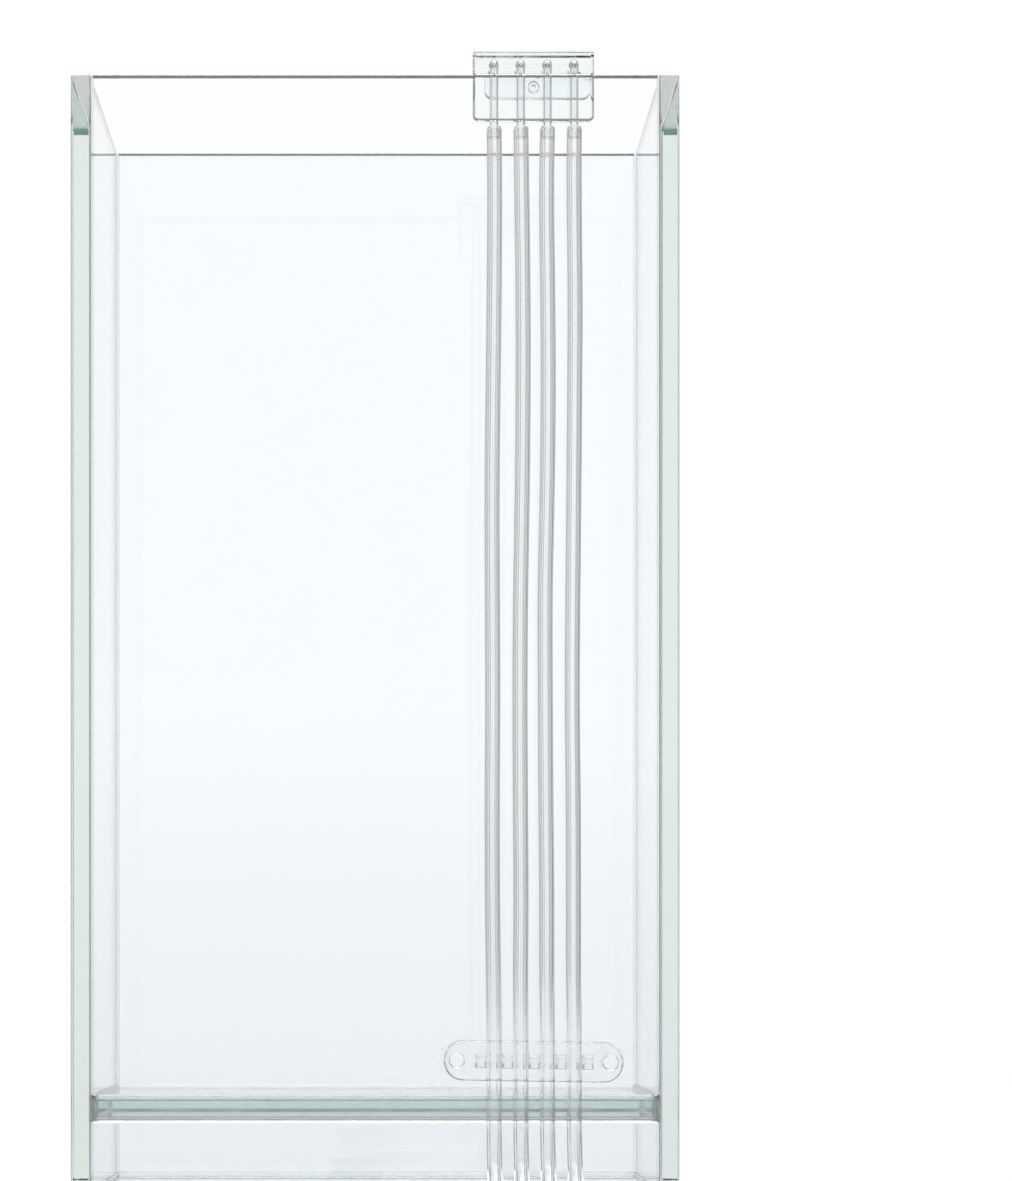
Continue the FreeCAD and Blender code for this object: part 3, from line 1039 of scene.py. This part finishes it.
class AQUARIUM_OT_suction_cups(bpy.types.Operator):
    """Mould the two suction cups that hold the comb: thin skirt, stud and flat head"""

    bl_idname = "aquarium.suction_cups"
    bl_label = "Suction cups"

    def execute(self, context):
        for side in ("left", "right"):
            node = f"suction_cup_{side}"
            low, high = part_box(node)
            middle = (low + high) / 2
            bm = bmesh.new()
            ring = [
                bm.verts.new((middle.x + radius * MM, high.y - away * MM, middle.z))
                for radius, away in CUP_SECTION
            ]
            edges = [bm.edges.new(pair) for pair in zip(ring, ring[1:])]
            bmesh.ops.spin(
                bm,
                geom=ring + edges,
                cent=(middle.x, 0, middle.z),
                axis=(0, 1, 0),
                angle=2 * math.pi,
                steps=CUP_SIDES,
                use_merge=True,
            )
            bmesh.ops.remove_doubles(bm, verts=bm.verts, dist=0.001 * MM)
            bmesh.ops.recalc_face_normals(bm, faces=bm.faces)
            for face in bm.faces:
                face.smooth = True
            crease = math.radians(35)
            for edge in bm.edges:
                edge.smooth = edge.calc_face_angle(0) < crease
            new_piece(f"sucker_{side}", bm, finish_of(clear_vinyl), "comb", [node])
        return {"FINISHED"}


# ---- hoses -----------------------------------------------------------------------------

# how far each hose strays sideways from its upright, in millimetres, at heights in metres
SWAY_HEIGHTS = (0.405, 0.360, 0.320, 0.281, 0.242, 0.203, 0.163, 0.124, 0.096)
SWAYS = {
    1: (0.3, 0.0, -0.5, -0.9, -0.7, -0.5, -0.8, -0.7, -0.3),
    2: (0.3, 0.9, 0.9, 0.5, -0.2, -0.4, -0.2, 0.1, -0.2),
    3: (-0.6, 0.1, 0.3, -0.2, -1.1, -0.9, -0.7, -0.3, -0.4),
    4: (-0.2, 0.4, 0.1, -0.2, -0.6, -0.9, -0.4, -0.3, -0.4),
}
# where the hoses lie side by side on the table, and their coil there, in metres
LANES = (0.0527, 0.0591, 0.0655, 0.0719)
ON_TABLE = 0.003  # height of a lying hose's middle
# how a hose comes down below the comb: share of the way to its lane, forward, and height
LANDING = (
    (0.0, 0.0, 0.078),
    (0.0, 0.0, 0.050),
    (0.0, 0.0, 0.03032),
    (0.0, 0.010, 0.013),
    (0.15, 0.02732, ON_TABLE),
    (0.7, 0.05482, ON_TABLE),
    (1.0, 0.08232, ON_TABLE),
)
COIL_MIDDLE = (0.0267, -0.180)
COIL_RADII = (0.0260, 0.0324, 0.0388, 0.0452)
COIL_RISE = 0.0063  # in one turn
COIL_TURNS = 2
TURN_POINTS = 16  # control points in one turn


def hose_route(number, sway):
    """A hose's control points: down its upright, onto the table and round the coil."""
    low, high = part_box(f"hose_{number}")
    x, y = (low.x + high.x) / 2, (low.y + high.y) / 2
    lane = LANES[number - 1]
    points = [(x, y, high.z)]
    for height, stray in zip(SWAY_HEIGHTS, SWAYS[number]):
        points.append((x + stray * sway * MM, y, height))
    for share, forward, height in LANDING:
        points.append((x + share * (lane - x), y - forward, height))
    # the spline cuts its control points' corners, so they stand a little further out
    radius = COIL_RADII[number - 1] / math.cos(math.pi / TURN_POINTS)
    for step in range(COIL_TURNS * TURN_POINTS + 1):
        angle = -2 * math.pi * step / TURN_POINTS
        points.append(
            (
                COIL_MIDDLE[0] + radius * math.cos(angle),
                COIL_MIDDLE[1] + radius * math.sin(angle),
                ON_TABLE + COIL_RISE * step / TURN_POINTS,
            )
        )
    return points


def spline_mesh(points, thickness):
    """The mesh of a smooth spline through the route: its line, or a tube of that radius."""
    curve = bpy.data.curves.new("hose_route", "CURVE")
    curve.dimensions = "3D"
    spline = curve.splines.new("NURBS")
    spline.points.add(len(points) - 1)
    for point, place in zip(spline.points, points):
        point.co = (*place, 1)
    spline.order_u = 3
    spline.use_endpoint_u = True
    spline.resolution_u = 6
    curve.bevel_depth = thickness
    curve.bevel_resolution = 5
    holder = bpy.data.objects.new("hose_route", curve)
    bpy.context.scene.collection.objects.link(holder)
    bpy.context.view_layer.update()
    evaluated = holder.evaluated_get(bpy.context.evaluated_depsgraph_get())
    mesh = bpy.data.meshes.new_from_object(evaluated)
    bpy.data.objects.remove(holder)
    bpy.data.curves.remove(curve)
    return mesh


class AQUARIUM_OT_hoses(bpy.types.Operator):
    """Run the four air hoses from the saddle down to their coil on the table"""

    bl_idname = "aquarium.hoses"
    bl_label = "Air hoses"

    def execute(self, context):
        sizes = context.scene.aquarium_sizes
        for number in HOSES:
            low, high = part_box(f"hose_{number}")
            width = high.x - low.x
            route = hose_route(number, sizes.hose_sway)
            line = spline_mesh(route, 0)
            tube = spline_mesh(route, width / 2)
            bm = bmesh.new()
            bm.from_mesh(tube)
            bpy.data.meshes.remove(line)
            bpy.data.meshes.remove(tube)
            hollow(bm, sizes.hose_wall)
            shade_tube(bm)
            replaced = [f"hose_{number}", f"hose_tail_{number}", "hose_coil"]
            name = f"air_hose_{number}"
            hose = new_piece(name, bm, finish_of(silicone_hose), None, replaced)
            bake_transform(hose)
        return {"FINISHED"}


class AQUARIUM_OT_tie(bpy.types.Operator):
    """Close the tie round the hoses' coil"""

    bl_idname = "aquarium.tie"
    bl_label = "Coil tie"

    def execute(self, context):
        bm = copy_of("coil_tie")
        round_edges(bm, EASED, 3)
        shade(bm)
        new_piece("cable_tie", bm, finish_of(natural_nylon), "tank", ["coil_tie"])
        return {"FINISHED"}


# ---- stage -----------------------------------------------------------------------------

TABLE_RADIUS = 1.6  # metres
TABLE_TOP = -0.2 * MM  # just under the base, so the two don't touch
# the camera looks level along +Y, and its shift takes in the tank and leaves out the table
CAMERA_PLACE = (0.0059, -1.195, 0.0989)
CAMERA_SHIFT = (0.0982, 0.3171)
CLEAR_WALLS = 32  # light crosses many: hose, panes, shelf and the hoses behind
LAMP_ANGLE = math.radians(70)  # so wide that it leaves no edge to a shadow


def studio_surroundings(settings):
    """A room with a white background and card, dimmer sides, a dark ceiling and a white floor."""
    world = bpy.data.worlds.new("studio")
    bpy.context.scene.world = world
    world.use_nodes = True
    tree = world.node_tree
    tree.nodes.clear()
    direction = add_node(tree, "ShaderNodeTexCoord").outputs["Generated"]
    up = add_node(tree, "ShaderNodeSeparateXYZ", links={"Vector": direction}).outputs["Z"]
    level = add_node(
        tree, "ShaderNodeVectorMath", {1: (1.0, 1.0, 0.0)}, {0: direction}, operation="MULTIPLY"
    )
    heading = add_node(
        tree, "ShaderNodeVectorMath", links={0: level.outputs[0]}, operation="NORMALIZE"
    )
    parts = add_node(tree, "ShaderNodeSeparateXYZ", links={"Vector": heading.outputs[0]})
    along = parts.outputs["Y"]
    opposite = add_node(tree, "ShaderNodeMath", {1: -1.0}, {0: along}, operation="MULTIPLY")

    # each card fades out between 16 and 19.5 degrees off the tank's long view, the ceiling
    # fades in between 20 and 38 degrees up, and the floor starts just below the horizon
    card_edge = (math.cos(math.radians(19.5)), math.cos(math.radians(16)))
    ceiling_edge = (math.sin(math.radians(20)), math.sin(math.radians(38)))
    light = None
    for value, (start, end), brightness in (
        (along, card_edge, settings.back_light),
        (opposite.outputs["Value"], card_edge, settings.front_light),
        (up, ceiling_edge, settings.ceiling_light),
        (up, (0.0, -0.04), settings.back_light),
    ):
        share = add_node(
            tree,
            "ShaderNodeMapRange",
            {"From Min": start, "From Max": end},
            {"Value": value},
            interpolation_type="SMOOTHSTEP",
        )
        links = {"Factor": share.outputs["Result"]}
        if light:
            links["A"] = light.outputs["Result"]
        light = add_node(
            tree, "ShaderNodeMix", {"A": settings.side_light, "B": brightness}, links
        )
    background = add_node(tree, "ShaderNodeBackground", links={"Color": light.outputs["Result"]})
    add_node(tree, "ShaderNodeOutputWorld", links={"Surface": background.outputs[0]})


class AQUARIUM_OT_stage(bpy.types.Operator):
    """Set up the table top, the soft light and the camera"""

    bl_idname = "aquarium.stage"
    bl_label = "Table, light and camera"

    def execute(self, context):
        scene = context.scene
        settings = scene.aquarium_stage

        bm = bmesh.new()
        bmesh.ops.create_circle(bm, cap_ends=True, segments=96, radius=TABLE_RADIUS)
        bmesh.ops.translate(bm, vec=(0, 0, TABLE_TOP), verts=bm.verts)
        mesh = bpy.data.meshes.new("table_top")
        bm.to_mesh(mesh)
        bm.free()
        mesh.materials.append(finish_of(matte_table))
        table = bpy.data.objects.new("table_top", mesh)
        scene.collection.objects.link(table)

        studio_surroundings(settings)

        lamp = bpy.data.lights.new("top_lamp", "SUN")
        lamp.energy = settings.top_lamp
        lamp.angle = LAMP_ANGLE
        top = bpy.data.objects.new("top_lamp", lamp)
        scene.collection.objects.link(top)

        camera = bpy.data.cameras.new("camera")
        camera.lens = settings.focal_length
        camera.sensor_width = 36
        camera.shift_x, camera.shift_y = CAMERA_SHIFT
        eye = bpy.data.objects.new("camera", camera)
        eye.location = CAMERA_PLACE
        eye.rotation_euler = (math.pi / 2, 0, 0)
        scene.collection.objects.link(eye)
        scene.camera = eye

        scene.view_settings.view_transform = "Standard"
        scene.cycles.max_bounces = CLEAR_WALLS
        scene.cycles.transmission_bounces = CLEAR_WALLS
        scene.cycles.transparent_max_bounces = CLEAR_WALLS
        return {"FINISHED"}


# ---- panel and main --------------------------------------------------------------------

OPERATORS = (
    AQUARIUM_OT_panes,
    AQUARIUM_OT_ground_edges,
    AQUARIUM_OT_corner_seams,
    AQUARIUM_OT_beads,
    AQUARIUM_OT_saddle,
    AQUARIUM_OT_elbows,
    AQUARIUM_OT_clamp_screw,
    AQUARIUM_OT_comb,
    AQUARIUM_OT_suction_cups,
    AQUARIUM_OT_tie,
    AQUARIUM_OT_hoses,
    AQUARIUM_OT_stage,
)


class AQUARIUM_PT_panel(bpy.types.Panel):
    """Pieces of the aquarium tank and their settings"""

    bl_idname = "AQUARIUM_PT_panel"
    bl_label = "Aquarium tank"
    bl_space_type = "VIEW_3D"
    bl_region_type = "UI"
    bl_category = "Aquarium"

    def draw(self, context):
        layout = self.layout
        for settings in (
            context.scene.aquarium_finish,
            context.scene.aquarium_sizes,
            context.scene.aquarium_stage,
        ):
            column = layout.column(align=True)
            for name in settings.__annotations__:
                column.prop(settings, name)
        column = layout.column()
        for operator in OPERATORS:
            column.operator(operator.bl_idname)


CLASSES = (AquariumFinish, AquariumSizes, AquariumStage, *OPERATORS, AQUARIUM_PT_panel)


def register():
    """Add the classes and the scene's settings."""
    for item in CLASSES:
        bpy.utils.register_class(item)
    bpy.types.Scene.aquarium_finish = bpy.props.PointerProperty(type=AquariumFinish)
    bpy.types.Scene.aquarium_sizes = bpy.props.PointerProperty(type=AquariumSizes)
    bpy.types.Scene.aquarium_stage = bpy.props.PointerProperty(type=AquariumStage)


def unregister():
    """Take them away again."""
    del bpy.types.Scene.aquarium_stage
    del bpy.types.Scene.aquarium_sizes
    del bpy.types.Scene.aquarium_finish
    for item in reversed(CLASSES):
        bpy.utils.unregister_class(item)


def main():
    """Build the tank and its stage."""
    register()
    for operator in OPERATORS:
        group, name = operator.bl_idname.split(".")
        getattr(getattr(bpy.ops, group), name)()


if __name__ == "__main__":
    main()
